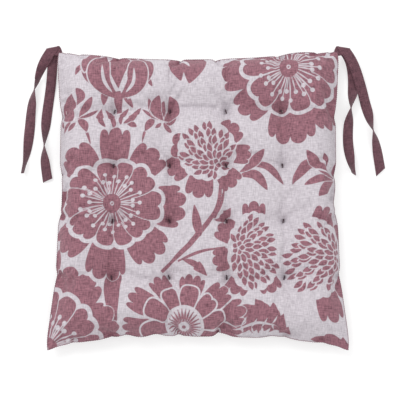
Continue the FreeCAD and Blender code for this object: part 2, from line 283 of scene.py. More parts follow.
# ---- Ribbon tails
# Two limp tails hang from each fold, drop to the seat beside the cushion and lie there, each with
# about half a turn in it or more. Their cut ends are plain. The outer tail starts above the root
# and the inner one below it, and each has its route and then its twist in degrees along it.
SAMPLE_STEP = 0.0012
TAIL_LENGTH = 0.186
LYING = TIE_CLOTH / 2 + 0.0002      # height of the middle of a tail that lies flat on the seat
TAIL_CROWN = 0.0013     # how far the middle of a limp tail arches above its edges
FOLD_REACH = 0.011      # how far along a tail its slanting crease turns square


def centreline(name, points):
    """Evenly spaced points along the smooth curve that control points give."""
    curve = bpy.data.curves.new(name + "_route", "CURVE")
    curve.dimensions = "3D"
    curve.resolution_u = 24
    spline = curve.splines.new("NURBS")
    spline.points.add(len(points) - 1)
    for control, point in zip(spline.points, points):
        control.co = (*point, 1)
    spline.order_u = 3
    spline.use_endpoint_u = True
    route = bpy.data.objects.new(name + "_route", curve)
    line = bpy.data.meshes.new_from_object(route)
    along = np.array([vertex.co[:] for vertex in line.vertices])
    bpy.data.meshes.remove(line)
    bpy.data.objects.remove(route)
    bpy.data.curves.remove(curve)
    return even_spacing(along, SAMPLE_STEP)


# routes: out from the side and forward along it, in metres from the fold, and the share of the
# fold's height that is left; then pairs of distance and twist, and the slant of the cut end
TAILS = {
    "tie_left_inner": (
        [(0, 0, 1), (.001, .015, .85), (.002, .033, .4), (.004, .054, .05), (.007, .080, 0),
         (.009, .110, 0), (.010, .140, 0), (.008, .165, 0), (.004, .186, 0)],
        [(0, 0), (.075, 0), (.105, 25), (.135, 90), (.160, 160), (.186, 172)], .0015,
    ),
    "tie_left_outer": (
        [(0, 0, 1), (.008, .013, 1), (.018, .031, .66), (.025, .052, .2), (.029, .076, 0),
         (.031, .104, 0), (.032, .133, 0), (.034, .156, 0), (.038, .177, 0)],
        [(0, 4), (.016, 10), (.032, 42), (.060, 90), (.085, 155), (.120, 182), (.150, 225),
         (.172, 262), (.186, 268)], .002,
    ),
    "tie_right_inner": (
        [(0, 0, 1), (.009, .012, .85), (.014, .030, .35), (.015, .052, .04), (.012, .076, 0),
         (.007, .100, 0), (.005, .124, 0), (.006, .150, 0), (.011, .178, 0)],
        [(0, 0), (.062, 4), (.088, 90), (.112, 165), (.140, 185), (.160, 215), (.178, 255),
         (.186, 262)], -.004,
    ),
    "tie_right_outer": (
        [(0, 0, 1), (.009, .012, 1), (.018, .030, .66), (.025, .052, .32), (.031, .076, .05),
         (.036, .100, 0), (.042, .126, 0), (.046, .150, 0), (.049, .174, 0)],
        [(0, 0), (.085, 5), (.105, 40), (.122, 90), (.142, 145), (.160, 172), (.186, 180)], .005,
    ),
}

for name, (route, turns, slant) in TAILS.items():
    hand = "left" if "left" in name else "right"
    outward = -1 if hand == "left" else 1
    layer = -1 if "inner" in name else 1
    fold = np.array(folds[name])
    fold_height = fold[2] + layer * (1.5 * TIE_CLOTH + TIE_LAYER_GAP)
    points = [
        (fold[0] + outward * out, fold[1] - forward, LYING + share * (fold_height - LYING))
        for out, forward, share in route
    ]
    line = centreline(name, points)
    reach = np.linspace(0, TAIL_LENGTH, len(line))
    twist = np.radians(np.interp(reach, [at for at, _ in turns], [turn for _, turn in turns]))
    easing = np.hanning(15)
    eased = np.pad(twist, len(easing) // 2, mode="edge")
    twist = np.convolve(eased, easing / easing.sum(), mode="valid")
    # a strip turned on its edge stands its half width above what it lies on
    line[:, 2] = np.maximum(line[:, 2], TIE_WIDTH / 2 * np.abs(np.sin(twist)) + LYING)
    side = strip_sides(line, outward * twist, TIE_WIDTH)
    arriving = ROOT_WAY * (outward, 1, 1)
    crease = fold_line(arriving, unit((line[4] - line[0]) * (1, 1, 0)), TIE_WIDTH)
    crease = crease * np.sign(np.dot(crease, side[0]))
    blend = np.clip(1 - reach / FOLD_REACH, 0, 1)[:, None] ** 1.5
    side = side * (1 - blend) + crease * blend
    # the ribbon bends round its crease from the layer of the root that it comes from
    beyond = unit(arriving - np.dot(arriving, unit(crease)) * unit(crease))
    bend = (TIE_CLOTH + TIE_LAYER_GAP) / 2
    turn = np.radians(np.linspace(-60, 60, 5))[:, None]
    curl = fold + beyond * bend * np.cos(turn) + np.array([0, 0, layer]) * (
        TIE_CLOTH / 2 + bend * (1 + np.sin(turn))
    )
    line = np.vstack([curl, line])
    side = np.vstack([np.repeat(crease[None], len(curl), axis=0), side])
    arched = TAIL_CROWN * smooth_step((reach - TIE_WIDTH) / 0.03)
    crown = np.concatenate([np.zeros(len(curl)), arched])
    tail_cloth = strip(line, side, TIE_CLOTH, slant, crown[:, None])
    tail = grid_mesh(name + "_ribbon", [tail_cloth], closed_across=True)
    tail.data.materials.append(ribbon_cotton)
    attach(tail, name)
    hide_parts(name)


# ---- Pad cover, shaped by its filling
# Two panels of woven cloth sewn together all round, stuffed and tufted: pressure swells the cloth,
# the twine holds it down at 16 places, and the edges draw in between the corners.
low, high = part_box("edge_seam")
COVER_WIDTH = high[0] - low[0]
COVER_DEPTH = high[1] - low[1]
SEAM_HEIGHT = (low[2] + high[2]) / 2
CLOTH_CELL = 0.0048     # grid of the cloth that is stuffed
FINE_CELL = 0.0013      # grid of the finished panels
CLOTH_EASE = 0.026      # cloth that the stitched-down panel has to spare for its pillows
SEAT_PRESS = 0.003      # how softly the underside turns from flat to round
DIMPLE_ABOVE = 0.0058
DIMPLE_BELOW = 0.0012
CREASE_WIDTH = 0.0035
TUFT_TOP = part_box("tuft_stitch_1_1")[1][2]
TUFT_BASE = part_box("tuft_stitch_1_1")[0][2]
tuft_places = []
for row in range(1, 5):
    for column in range(1, 5):
        corner_a, corner_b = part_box(f"tuft_stitch_{row}_{column}")
        tuft_places.append(((corner_a[0] + corner_b[0]) / 2, (corner_a[1] + corner_b[1]) / 2))


def stuffed_cover():
    """Both panels as grids of points over the flat cloth: (top, base, flat x, flat y)."""
    flat_x = np.linspace(-COVER_WIDTH / 2, COVER_WIDTH / 2, round(COVER_WIDTH / CLOTH_CELL) + 1)
    flat_y = np.linspace(-COVER_DEPTH / 2, COVER_DEPTH / 2, round(COVER_DEPTH / CLOTH_CELL) + 1)
    grid_x, grid_y = np.meshgrid(flat_x, flat_y, indexing="ij")
    inward = np.minimum(COVER_WIDTH / 2 - abs(grid_x), COVER_DEPTH / 2 - abs(grid_y))
    rise = smooth_step(inward / 0.04)
    inside = inward > 1e-9
    top = np.stack([grid_x, grid_y, SEAM_HEIGHT + (TUFT_TOP - SEAM_HEIGHT) * rise], axis=-1)
    base = np.stack([grid_x, grid_y, SEAM_HEIGHT - (SEAM_HEIGHT - TUFT_BASE) * rise], axis=-1)

    top_index = np.arange(grid_x.size).reshape(grid_x.shape)
    base_index = top_index.copy()
    base_index[inside] = grid_x.size + np.arange(inside.sum())
    faces = []
    for index, step in ((top_index, 1), (base_index, -1)):
        corners = [index[:-1, :-1], index[1:, :-1], index[1:, 1:], index[:-1, 1:]]
        faces += np.stack(corners[::step], axis=-1).reshape(-1, 4).tolist()
    points = np.vstack([top.reshape(-1, 3), base[inside]])
    mesh = bpy.data.meshes.new("stuffing_try")
    mesh.from_pydata(points.tolist(), [], faces)
    cover = bpy.data.objects.new("stuffing_try", mesh)
    bpy.context.scene.collection.objects.link(cover)
    held = cover.vertex_groups.new(name="held")
    for x, y in tuft_places:
        column = int(np.argmin(abs(flat_x - x)))
        for line in np.argsort(abs(flat_y - y))[:2]:
            for index in (top_index, base_index):
                held.add([int(index[column, line])], 1.0, "REPLACE")

    cloth = cover.modifiers.new("stuffing", "CLOTH")
    settings = cloth.settings
    settings.quality = 6
    settings.mass = 0.15
    settings.air_damping = 2
    settings.tension_stiffness = 30
    settings.compression_stiffness = 30
    settings.shear_stiffness = 7.5
    settings.bending_stiffness = 1
    settings.tension_damping = 8
    settings.compression_damping = 8
    settings.shear_damping = 8
    settings.use_pressure = True
    settings.uniform_pressure_force = 5
    settings.shrink_min = -CLOTH_EASE
    settings.vertex_group_mass = "held"
    settings.effector_weights.gravity = 0
    cloth.collision_settings.use_collision = False
    last_frame = 40
    cloth.point_cache.frame_end = last_frame
    for moment in range(1, last_frame + 1):
        bpy.context.scene.frame_set(moment)
    swollen = cover.evaluated_get(bpy.context.evaluated_depsgraph_get()).data
    places = np.empty(len(points) * 3, dtype=np.float32)
    swollen.vertices.foreach_get("co", places)
    places = places.reshape(-1, 3).astype(float)
    top = places[top_index]
    base = places[base_index]
    bpy.context.scene.frame_set(1)
    bpy.data.objects.remove(cover)
    bpy.data.meshes.remove(mesh)
    return top, base, flat_x, flat_y


def finer(values, count_x, count_y):
    """A grid of points resampled to more rows and columns along smooth cubic curves."""
    for axis, count in ((0, count_x), (1, count_y)):
        values = np.moveaxis(values, axis, 0)
        last = len(values) - 1
        place = np.linspace(0, last, count)
        cell = np.minimum(place.astype(int), last - 1)
        part = (place - cell).reshape(-1, *([1] * (values.ndim - 1)))
        before = np.where((cell > 0).reshape(part.shape), values[np.maximum(cell - 1, 0)],
                          2 * values[cell] - values[cell + 1])
        after = np.where((cell < last - 1).reshape(part.shape), values[np.minimum(cell + 2, last)],
                         2 * values[cell + 1] - values[cell])
        here, there = values[cell], values[cell + 1]
        values = here + part / 2 * (
            there - before
            + part * (2 * before - 5 * here + 4 * there - after
                      + part * (3 * (here - there) + after - before))
        )
        values = np.moveaxis(values, 0, axis)
    return values


top_points, base_points, flat_x, flat_y = stuffed_cover()
fine_x = round(COVER_WIDTH / FINE_CELL) + 1
fine_y = round(COVER_DEPTH / FINE_CELL) + 1
top_points = finer(top_points, fine_x, fine_y)
base_points = finer(base_points, fine_x, fine_y)
cloth_x, cloth_y = np.meshgrid(
    np.linspace(flat_x[0], flat_x[-1], fine_x), np.linspace(flat_y[0], flat_y[-1], fine_y),
    indexing="ij",
)
cloth_xy = np.stack([cloth_x, cloth_y], axis=-1)

# the front corners were poked out after turning, the seam gathers in a few places along the front
# edge, and the rear edge bulges towards one corner
front = smooth_step((-0.12 - cloth_y) / 0.08)
rear = smooth_step((cloth_y - 0.12) / 0.08)
along_front = np.clip(abs(cloth_x) / (COVER_WIDTH / 2), 0, 1)
gather = 0.0025 * np.cos(math.pi / 2 * along_front) ** 0.7 - 0.006 * along_front ** 8
for place, depth in ((-0.095, 0.004), (-0.057, 0.0035), (0.034, 0.0035), (0.099, 0.003)):
    gather += depth * np.exp(-(((cloth_x - place) / 0.011) ** 2))
swing = 0.004 * np.exp(-(((cloth_x - 0.14) / 0.04) ** 2))
swing -= 0.0015 * np.exp(-(((cloth_x + 0.06) / 0.06) ** 2))

# short puckers run in from the sewn edge, where the seam draws the cloth up
from_sides = COVER_WIDTH / 2 - abs(cloth_x)
from_ends = COVER_DEPTH / 2 - abs(cloth_y)
for inward, along_edge in ((from_sides, cloth_y), (from_ends, cloth_x)):
    wander = 2.4 * np.sin(along_edge / 0.0105) + 1.7 * np.sin(along_edge / 0.0268 + 1)
    pucker = np.sin(2 * math.pi * along_edge / 0.019 + wander)
    pucker *= (1 - np.exp(-inward / 0.003)) * np.exp(-inward / 0.013)
    top_points[..., 2] += 0.0011 * pucker
    base_points[..., 2] -= 0.0008 * pucker
for panel in (top_points, base_points):
    panel[..., 0] += 0.003 * front * along_front ** 8 * np.sign(cloth_x)
    panel[..., 1] += front * gather + rear * swing

# the underside flattens where it lies on the seat, and the twine pulls dimples with creases that
# run out of them towards the next ones
base_points[..., 2] = (base_points[..., 2] + np.hypot(base_points[..., 2], SEAT_PRESS)) / 2
lowest = base_points[..., 2].min()
for panel, deep in ((top_points, DIMPLE_ABOVE), (base_points, -DIMPLE_BELOW)):
    panel[..., 2] -= lowest
    for x, y in tuft_places:
        off_x = panel[..., 0] - x
        off_y = panel[..., 1] - y
        apart = np.hypot(off_x, off_y)
        pulled = np.arctan2(off_y, off_x) * 5 + 90 * x
        crease = np.exp(-((off_x / CREASE_WIDTH) ** 2) - (off_y / 0.028) ** 2)
        crease += 0.5 * np.exp(-((off_y / CREASE_WIDTH) ** 2) - (off_x / 0.022) ** 2)
        panel[..., 2] -= deep * np.exp(-((apart / 0.008) ** 2))
        panel[..., 2] -= 0.2 * deep * np.exp(-apart / 0.012) * (1 + np.cos(pulled))
        panel[..., 2] -= 0.45 * deep * crease

# the panels lie against each other at the seam and don't pass through each other beside it
least_apart = 0.0025 * smooth_step(np.minimum(from_sides, from_ends) / 0.008)
pressed = np.maximum(least_apart - (top_points - base_points)[..., 2], 0)
top_points[..., 2] += pressed / 2
base_points[..., 2] -= pressed / 2


# ---- Printed top panel
# A linen and cotton cloth, screen printed in one mauve with a large garden flower pattern: full
# blooms with stamens, round tufted heads, buds, stems and leaves. Sizes in mm on the flat cloth.
PRINT_DRAW_IN = 0.045     # the sewn edge draws the cloth in, so the print is laid out to suit
PRINT_OUTSIDE = -9.0
PETAL_GAP = 1.2
SLUB_WIDTH = 0.0013     # metres: a real slub is about 0.6 mm thick, drawn coarser so that it shows
SLUB_LENGTH = 0.008


def shape_distance(outline, x, y):
    """Distance in mm from points to a closed outline, positive inside it."""
    begin = outline[:, None]
    edge = np.roll(outline, -1, axis=0)[:, None] - begin
    offset = np.stack([x.ravel(), y.ravel()], axis=-1)[None] - begin
    share = np.clip((offset * edge).sum(-1) / np.maximum((edge ** 2).sum(-1), 1e-9), 0, 1)
    apart = np.sqrt(((offset - share[..., None] * edge) ** 2).sum(-1)).min(axis=0)
    passes = (offset[..., 1] < 0) != (offset[..., 1] - edge[..., 1] < 0)
    turn = offset[..., 0] * edge[..., 1] - offset[..., 1] * edge[..., 0]
    crossings = (passes & ((turn < 0) == (edge[..., 1] > 0))).sum(axis=0)
    return np.where(crossings % 2 == 1, apart, -apart).reshape(x.shape)


print_x = np.linspace(flat_x[0], flat_x[-1], fine_x) * 1000
print_y = np.linspace(flat_y[0], flat_y[-1], fine_y) * 1000
print_x = print_x * (1 - PRINT_DRAW_IN * smooth_step((abs(print_x) - 114) / 83))
print_y = print_y * (1 - PRINT_DRAW_IN * smooth_step((abs(print_y) - 114) / 89))
ink = np.full((fine_x, fine_y), PRINT_OUTSIDE)
covered = ink.copy()


def window(outline, grow=-PRINT_OUTSIDE):
    """The part of the print near an outline, and the outline's distance there."""
    low, high = outline.min(axis=0) - grow, outline.max(axis=0) + grow
    rows = slice(*np.searchsorted(print_x, (low[0], high[0])))
    columns = slice(*np.searchsorted(print_y, (low[1], high[1])))
    x, y = np.meshgrid(print_x[rows], print_y[columns], indexing="ij")
    return (rows, columns), shape_distance(outline, x, y)


def draw(outline, gap=0.0, behind=None):
    """Prints a shape behind the ones before it, with a pale gap round them."""
    part, shape = window(outline)
    in_front = covered if behind is None else behind
    ink[part] = np.maximum(ink[part], np.minimum(shape, -(in_front[part] + gap)))
    covered[part] = np.maximum(covered[part], shape)


def keep_pale(outline):
    """Keeps a shape free of print, and later shapes behind it."""
    part, shape = window(outline)
    covered[part] = np.maximum(covered[part], shape)


def scratch(outline):
    """Takes a pale mark out of what is printed."""
    part, shape = window(outline)
    ink[part] = np.minimum(ink[part], -shape)


def petal(centre, angle, half_angle, inner, outer, lobes=1, notch=0.12):
    """A petal that widens outwards from a centre to a rounded or lobed tip."""
    across = np.linspace(-1, 1, 12 * lobes + 13)
    bumps = abs(np.sin(math.pi * lobes * (across + 1) / 2)) ** 0.5
    rise = (1 - abs(across) ** 5) ** 0.5 * (1 - notch * (1 - bumps))
    reach = inner + (outer - inner) * rise
    turn = np.radians(angle + half_angle * across)
    return np.stack([centre[0] + reach * np.cos(turn), centre[1] + reach * np.sin(turn)], axis=1)


def blade(spine, width, widest=0.45, teeth=0, tooth=0.4, tip=0.0, pointed=0.8):
    """A leaf, bud or stem round a bent spine of three or more points."""
    curve = np.array(spine, float)
    for _ in range(3):
        quarter = 0.75 * curve[:-1] + 0.25 * curve[1:]
        rest = 0.25 * curve[:-1] + 0.75 * curve[1:]
        cut = np.stack([quarter, rest], axis=1).reshape(-1, 2)
        curve = np.vstack([curve[:1], cut[1:-1], curve[-1:]])
    curve = even_spacing(np.column_stack([curve, np.zeros(len(curve))]), 1.1)[:, :2]
    share = np.linspace(0, 1, len(curve))
    swell = np.abs(np.sin(math.pi * share ** (math.log(0.5) / math.log(widest)))) ** pointed
    half = width / 2 * np.maximum(swell, tip)
    if teeth:
        half = half * (1 - tooth * ((share * teeth) % 1))
    along = np.gradient(curve, axis=0)
    side = unit(np.stack([-along[:, 1], along[:, 0]], axis=1)) * half[:, None]
    return np.vstack([curve + side, (curve - side)[::-1]])


def disc(centre, radius, count=14):
    turn = np.linspace(0, 2 * math.pi, count, endpoint=False)
    return np.stack([centre[0] + radius * np.cos(turn), centre[1] + radius * np.sin(turn)], axis=1)


def polar(centre, angle, radius):
    turn = math.radians(angle)
    return centre[0] + radius * math.cos(turn), centre[1] + radius * math.sin(turn)


def bloom(centre, inner_petals, outer_petals, band, stamens=34, eye=11, crown=37):
    """A full flower: stamens over a ring of petals, a pale band, and lobed petals behind."""
    part, heart = window(disc(centre, crown * 0.75, 40))
    for angle, half_angle, outer, lobes in inner_petals:
        draw(petal(centre, angle, 1.2 * half_angle, eye, outer, lobes), PETAL_GAP)
    ink[part] = np.maximum(ink[part], heart)
    covered[part] = np.maximum(covered[part], heart)
    ring = covered.copy()
    for angle, half_angle, outer, lobes in outer_petals:
        draw(petal(centre, angle, 1.25 * half_angle, eye, outer, lobes), band, ring)
    for index in range(stamens):
        angle = 360 * index / stamens + 3 * math.sin(5 * index)
        length = crown * (1.0, 0.76, 1.06, 0.82)[index % 4]
        end = polar(centre, angle, length)
        scratch(blade([polar(centre, angle, eye * 1.1), polar(centre, angle, length * 0.7), end],
                      1.7, tip=0.75))
        scratch(disc(end, 2.7))
    scratch(disc(centre, 2.9))
    part, pupil = window(disc(centre, 1.3))
    ink[part] = np.maximum(ink[part], pupil)


def tufted_head(origin, centre, radius_x, radius_y, sepals):
    """A round head of many slim petals fanning out from one side, with lobed sepals behind."""
    rim = np.linspace(0, 2 * math.pi, 90, endpoint=False)
    scallop = 1 + 0.055 * abs(np.sin(9 * rim))
    keep_pale(np.stack([centre[0] + radius_x * scallop * np.cos(rim),
                        centre[1] + radius_y * scallop * np.sin(rim)], axis=1))
    taken = np.full_like(ink, PRINT_OUTSIDE)
    radius = 5.0
    ring = 0
    while radius < 100:
        count = round(2 * math.pi * radius / (5.4 + 0.07 * radius))
        for index in range(count):
            angle = 360 * (index + 0.5 * (ring % 2)) / count + 3 * math.sin(3 * index + ring)
            place = polar(origin, angle, radius + 1)
            apart = math.hypot((place[0] - centre[0]) / radius_x, (place[1] - centre[1]) / radius_y)
            if apart < 0.93:
                long = 8.2 * min(1, (radius + 6) / 22)
                drop = blade([polar(origin, angle - 2, radius - long), polar(origin, angle + 1, radius),
                              polar(origin, angle, radius + long)], 6.7, widest=0.55, pointed=1.1)
                part, shape = window(drop)
                ink[part] = np.maximum(ink[part], np.minimum(shape, -(taken[part] + 1.4)))
                taken[part] = np.maximum(taken[part], shape)
        radius += 8.8 + 0.03 * radius
        ring += 1
    for angle, half_angle, outer, lobes in sepals:
        draw(petal(centre, angle, 1.3 * half_angle, 12, outer, lobes, 0.14), PETAL_GAP)


# full blooms: each petal is its direction and half angle in degrees, its reach and its lobes
bloom(
    (-114, -16),
    [(99, 17, 57, 1), (72, 16, 58, 1), (37, 21, 63, 2), (-4, 21, 66, 2), (-42, 19, 60, 2),
     (-71, 14, 60, 1), (-99, 15, 58, 1), (-137, 22, 61, 3), (180, 22, 63, 2), (141, 20, 59, 2)],
    [(88, 14, 104, 3), (-94, 17, 103, 4), (51, 17, 94, 3), (-3, 20, 99, 4), (-50, 19, 97, 4),
     (127, 18, 93, 3), (-136, 18, 91, 3), (180, 17, 84, 3)],
    5.2,
)
bloom(
    (124, 165),
    [(172, 19, 62, 2), (-141, 22, 59, 2), (-106, 15, 56, 1), (-73, 16, 55, 1), (-38, 20, 61, 2),
     (3, 20, 60, 2), (45, 20, 60, 2), (90, 20, 58, 2), (132, 20, 60, 2)],
    [(-90, 21, 101, 4), (-178, 18, 93, 3), (-139, 18, 89, 3), (-50, 18, 94, 4), (-12, 18, 92, 3),
     (144, 16, 84, 3), (30, 20, 86, 3)],
    5.2,
)
bloom(
    (-190, -192),
    [(95, 20, 60, 2), (60, 16, 58, 1), (28, 18, 60, 2), (-8, 18, 60, 2)],
    [(64, 25, 95, 4), (10, 27, 88, 5), (110, 18, 84, 3)],
    5.2, crown=33,
)

# a bloom with a striped heart, seen a little from the side
heart_at = (-18, -178)
for index in range(26):
    angle = 360 * index / 26
    spoke = [polar(heart_at, angle, 7), polar(heart_at, angle, 14), polar(heart_at, angle, 22)]
    draw(blade(spoke, 2.4, tip=0.6))
draw(disc(heart_at, 2.6))
keep_pale(disc(heart_at, 24, 40))
for angle, half_angle, outer, lobes in (
    (118, 17, 50, 1), (80, 20, 50, 1), (153, 17, 56, 1), (42, 17, 50, 2), (10, 17, 52, 1),
    (-172, 18, 58, 1), (-30, 20, 52, 2),
):
    draw(petal(heart_at, angle, half_angle, 20, outer, lobes), 1.8)
for angle, half_angle, outer, lobes in (
    (121, 15, 74, 3), (79, 20, 68, 4), (152, 15, 82, 3), (-178, 14, 82, 3), (40, 18, 74, 3),
    (14, 15, 84, 3), (-10, 12, 78, 2),
):
    draw(petal(heart_at, angle, half_angle, 22, outer, lobes, 0.18), 2.2)

# round tufted heads and their sepals
tufted_head(
    (22, 36), (12, 56), 37, 40,
    [(170, 22, 49, 2), (211, 20, 61, 3), (259, 18, 67, 3), (-53, 17, 63, 3), (-7, 15, 60, 3),
     (40, 22, 55, 3)],
)
tufted_head(
    (53, -77), (74, -82), 33, 51,
    [(90, 15, 68, 3), (141, 19, 60, 3), (193, 17, 57, 3), (244, 16, 64, 3), (-66, 17, 60, 3)],
)
tufted_head(
    (181, -86), (151, -90), 37, 50,
    [(75, 15, 72, 3), (-75, 14, 80, 3), (45, 12, 60, 2), (-46, 12, 62, 2)],
)

# the large bud: petals from front to back, pale slits, then the calyx
for spine, width, widest in (
    ([(-108, 129), (-138, 152), (-129, 194)], 27, 0.55),
    ([(-107, 129), (-79, 148), (-88, 190)], 27, 0.55),
    ([(-108, 140), (-110, 168), (-110, 202)], 32, 0.62),
    ([(-84, 196), (-60, 164), (-95, 128)], 11, 0.45),
    ([(-151, 160), (-150, 178), (-136, 202)], 15, 0.5),
    ([(-100, 178), (-94, 186), (-88, 204)], 12, 0.5),
    ([(-157, 182), (-151, 152), (-122, 132)], 6, 0.55),
):
    draw(blade(spine, width, widest), 1.6)
for spine, width in (
    ([(-116, 136), (-129, 150), (-131, 172)], 4.5), ([(-98, 136), (-86, 148), (-88, 168)], 4.5),
):
    scratch(blade(spine, width))
draw(blade([(-109, 138), (-108, 124), (-107, 110)], 12.5, 0.35, tip=0.6))
for spine, width in (
    ([(-115, 140), (-127, 136), (-128, 119)], 10), ([(-104, 134), (-96, 130), (-88, 116)], 8),
    ([(-72, 159), (-68, 152), (-62, 143)], 6), ([(-69, 170), (-72, 166), (-75, 160)], 3),
    ([(-157, 171), (-158, 166), (-162, 158)], 6),
):
    draw(blade(spine, width), 0.8)

# the half bud at the rear edge, hanging down
for spine, width, widest in (
    ([(-12, 208), (-4, 180), (-12, 147)], 34, 0.45), ([(-30, 206), (-32, 182), (-23, 151)], 24, 0.45),
):
    draw(blade(spine, width, widest))
scratch(blade([(-27, 194), (-20, 186), (-11, 169)], 6))

# small buds, sprigs and leaves: spine, width, place of the widest part, and teeth along the edge
for spine, width, widest, teeth in (
    ([(-164, 97), (-177, 114), (-168, 137)], 23, 0.5, 0),
    ([(-163, 120), (-153, 130), (-161, 142)], 11, 0.5, 0),
    ([(-157, 100), (-150, 112), (-142, 130)], 9, 0.55, 0),
    ([(-160, 98), (-148, 102), (-134, 113)], 4.5, 0.6, 0),
    ([(-166, 96), (-174, 92), (-178, 83)], 6.5, 0.5, 0),
    ([(-160, 94), (-165, 90), (-170, 84)], 6.5, 0.5, 0),
    ([(-178, 92), (-183, 96), (-184, 103)], 6, 0.5, 0),
    ([(-157, 98), (-150, 92), (-147, 80)], 10, 0.4, 0),
    ([(-149, 85), (-145, 74), (-142, 60)], 3.4, 0.3, 0),
    ([(-125, 87), (-133, 98), (-130, 115)], 10, 0.5, 2),
    ([(-114, 87), (-114, 100), (-126, 115)], 10, 0.45, 2),
    ([(-103, 90), (-105, 102), (-94, 116)], 9, 0.5, 2),
    ([(-100, 92), (-88, 100), (-77, 116)], 11, 0.5, 3),
    ([(-96, 92), (-90, 92), (-82, 87)], 8, 0.5, 0),
    ([(-47, 97), (-60, 112), (-53, 133)], 15, 0.55, 0),
    ([(-46, 97), (-30, 112), (-39, 133)], 17, 0.5, 0),
    ([(-48, 98), (-50, 114), (-46, 126)], 10, 0.5, 0),
    ([(-50, 97), (-62, 108), (-67, 129)], 9, 0.55, 0),
    ([(-50, 96), (-62, 101), (-76, 113)], 4.5, 0.6, 0),
    ([(-45, 95), (-36, 94), (-29, 103)], 7, 0.6, 0),
    ([(-47, 95), (-42, 88), (-35, 81)], 7, 0.5, 0),
    ([(-50, 94), (-53, 90), (-58, 86)], 5, 0.5, 0),
    ([(-59, 98), (-66, 92), (-71, 81)], 10, 0.4, 0),
    ([(-70, 85), (-73, 76), (-75, 64)], 3.4, 0.3, 0),
    ([(184, 20), (162, 26), (144, 56)], 14, 0.6, 0),
    ([(183, 21), (146, 44), (125, 8)], 14, 0.55, 0),
    ([(184, 19), (160, 18), (140, 7)], 10, 0.6, 0),
    ([(172, 36), (168, 46), (164, 54)], 6, 0.5, 0),
    ([(186, 24), (190, 36), (188, 48)], 8, 0.5, 0),
    ([(185, 17), (172, 12), (156, -8)], 14, 0.5, 0),
    ([(53, 24), (72, 34), (89, 58)], 13, 0.6, 0),
    ([(64, 32), (68, 44), (72, 56)], 6, 0.5, 0),
    ([(66, 33), (94, 38), (114, 8)], 12, 0.5, 0),
    ([(54, 20), (78, 24), (92, 0)], 13, 0.5, 0),
    ([(3, -62), (-1, -44), (-5, -18)], 12, 0.4, 0),
    ([(21, -38), (32, -38), (44, -22)], 13, 0.6, 3),
    ([(-20, -92), (-4, -96), (12, -113)], 13, 0.55, 2),
    ([(-184, -76), (-182, -96), (-188, -117)], 13, 0.4, 0),
    ([(-108, -106), (-114, -130), (-107, -184)], 22, 0.22, 0),
    ([(40, -182), (84, -158), (123, -190)], 42, 0.45, 7),
    ([(146, -190), (172, -188), (204, -206)], 24, 0.5, 4),
):
    draw(blade(spine, width, widest, teeth), 1.1)
scratch(blade([(46, -184), (80, -168), (108, -181)], 3.0))
for vein in range(4):
    base = (58 + 13 * vein, -177 + 2 * abs(vein - 1.5))
    for way in (55, -72):
        tip = polar(base, way, 11)
        scratch(blade([base, polar(base, way - 6, 6), tip], 2.2, tip=0.4))
scratch(blade([(176, 24), (152, 30), (134, 14)], 2.6))

# stems behind everything
for spine, width, widest in (
    ([(30, 14), (27, -24), (-10, -72), (-48, -108)], 7.5, 0.6),
    ([(35, 6), (32, -12), (22, -36)], 4.5, 0.5), ([(-26, -94), (4, -80), (36, -76)], 4, 0.4),
):
    draw(blade(spine, width, widest, tip=0.6))


def printed_linen(name, ground, ink_colour):
    """Screen print on slubbed plain weave: the ink sits on the raised threads and fades at edges."""
    material, tree = new_material(name)
    flat = add(tree, "UVMap", uv_map="cloth").outputs[0]
    weave = woven_height(tree, flat, THREAD_PITCH)
    uneven = slubs(tree, flat, SLUB_WIDTH, SLUB_LENGTH)
    colours = []
    for dark, light in (ground, ink_colour):
        shade = add(tree, "MapRange", {0: uneven, 1: 0.32, 2: 0.68, 3: 0.0, 4: 1.0})
        tint = add(tree, "MixRGB", {0: shade.outputs[0], 1: linear(dark), 2: linear(light)})
        colours.append(tint.outputs[0])
    depth = add(tree, "Attribute", attribute_name="print").outputs["Fac"]
    rough_edge = add(tree, "Math", {0: uneven, 1: 0.5}, operation="SUBTRACT")
    frayed = add(tree, "Math", {0: rough_edge.outputs[0], 1: 1.5, 2: depth}, operation="MULTIPLY_ADD")
    amount = add(tree, "MapRange", {0: frayed.outputs[0], 1: -0.3, 2: 0.3, 3: 0.0, 4: 1.0})
    tint = add(tree, "MixRGB", {0: amount.outputs[0], 1: colours[0], 2: colours[1]})
    # painted thread shade, milder than on the plain cotton: 0.88 of the colour between threads, 1.05 on
    # their crowns
    woven_surface(tree, tint.outputs[0], weave, uneven, (0.88, 1.05), 0.4, 0.1)
    return material


top_cloth = printed_linen("printed_linen_cotton", ("#AEA6AD", "#DBD4DA"), ("#613C48", "#AD7985"))
top_panel = grid_mesh("top_panel", [(top_points, cloth_xy)])
top_panel.data.materials.append(top_cloth)
top_panel.data.attributes.new("print", "FLOAT", "POINT").data.foreach_set(
    "value", ink.ravel().astype(np.float32)
)
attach(top_panel, "pad")
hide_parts("top_cover")


# ---- Plain back panel
# The underside, a plain woven cotton in the colour of the ties. It was sewn face to face with the
# top round three edges and part of the fourth, and then turned right side out.
base_panel = grid_mesh("base_panel", [(base_points[::-1], cloth_xy[::-1])])
base_panel.data.materials.append(
    plain_cotton("plain_cotton_back", "#5A3B46", "#7A525D", THREAD_PITCH)
)
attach(base_panel, "pad")
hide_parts("base_cover")


# ---- Filling
# Loose polyester fibre blown in through the opening in the rear edge. It is a soft white mass just
# inside both panels, pulled thin where the twine goes through.
FIBRE_STEP = 4
FIBRE_SHRINK = np.array([0.963, 0.963, 1.0])
FIBRE_SHARE = 0.68      # of the space between the panels, so that it stays clear of the dimples
CLUMPS_PER_METRE = 260.0        # a clump of fibre is about 4 mm


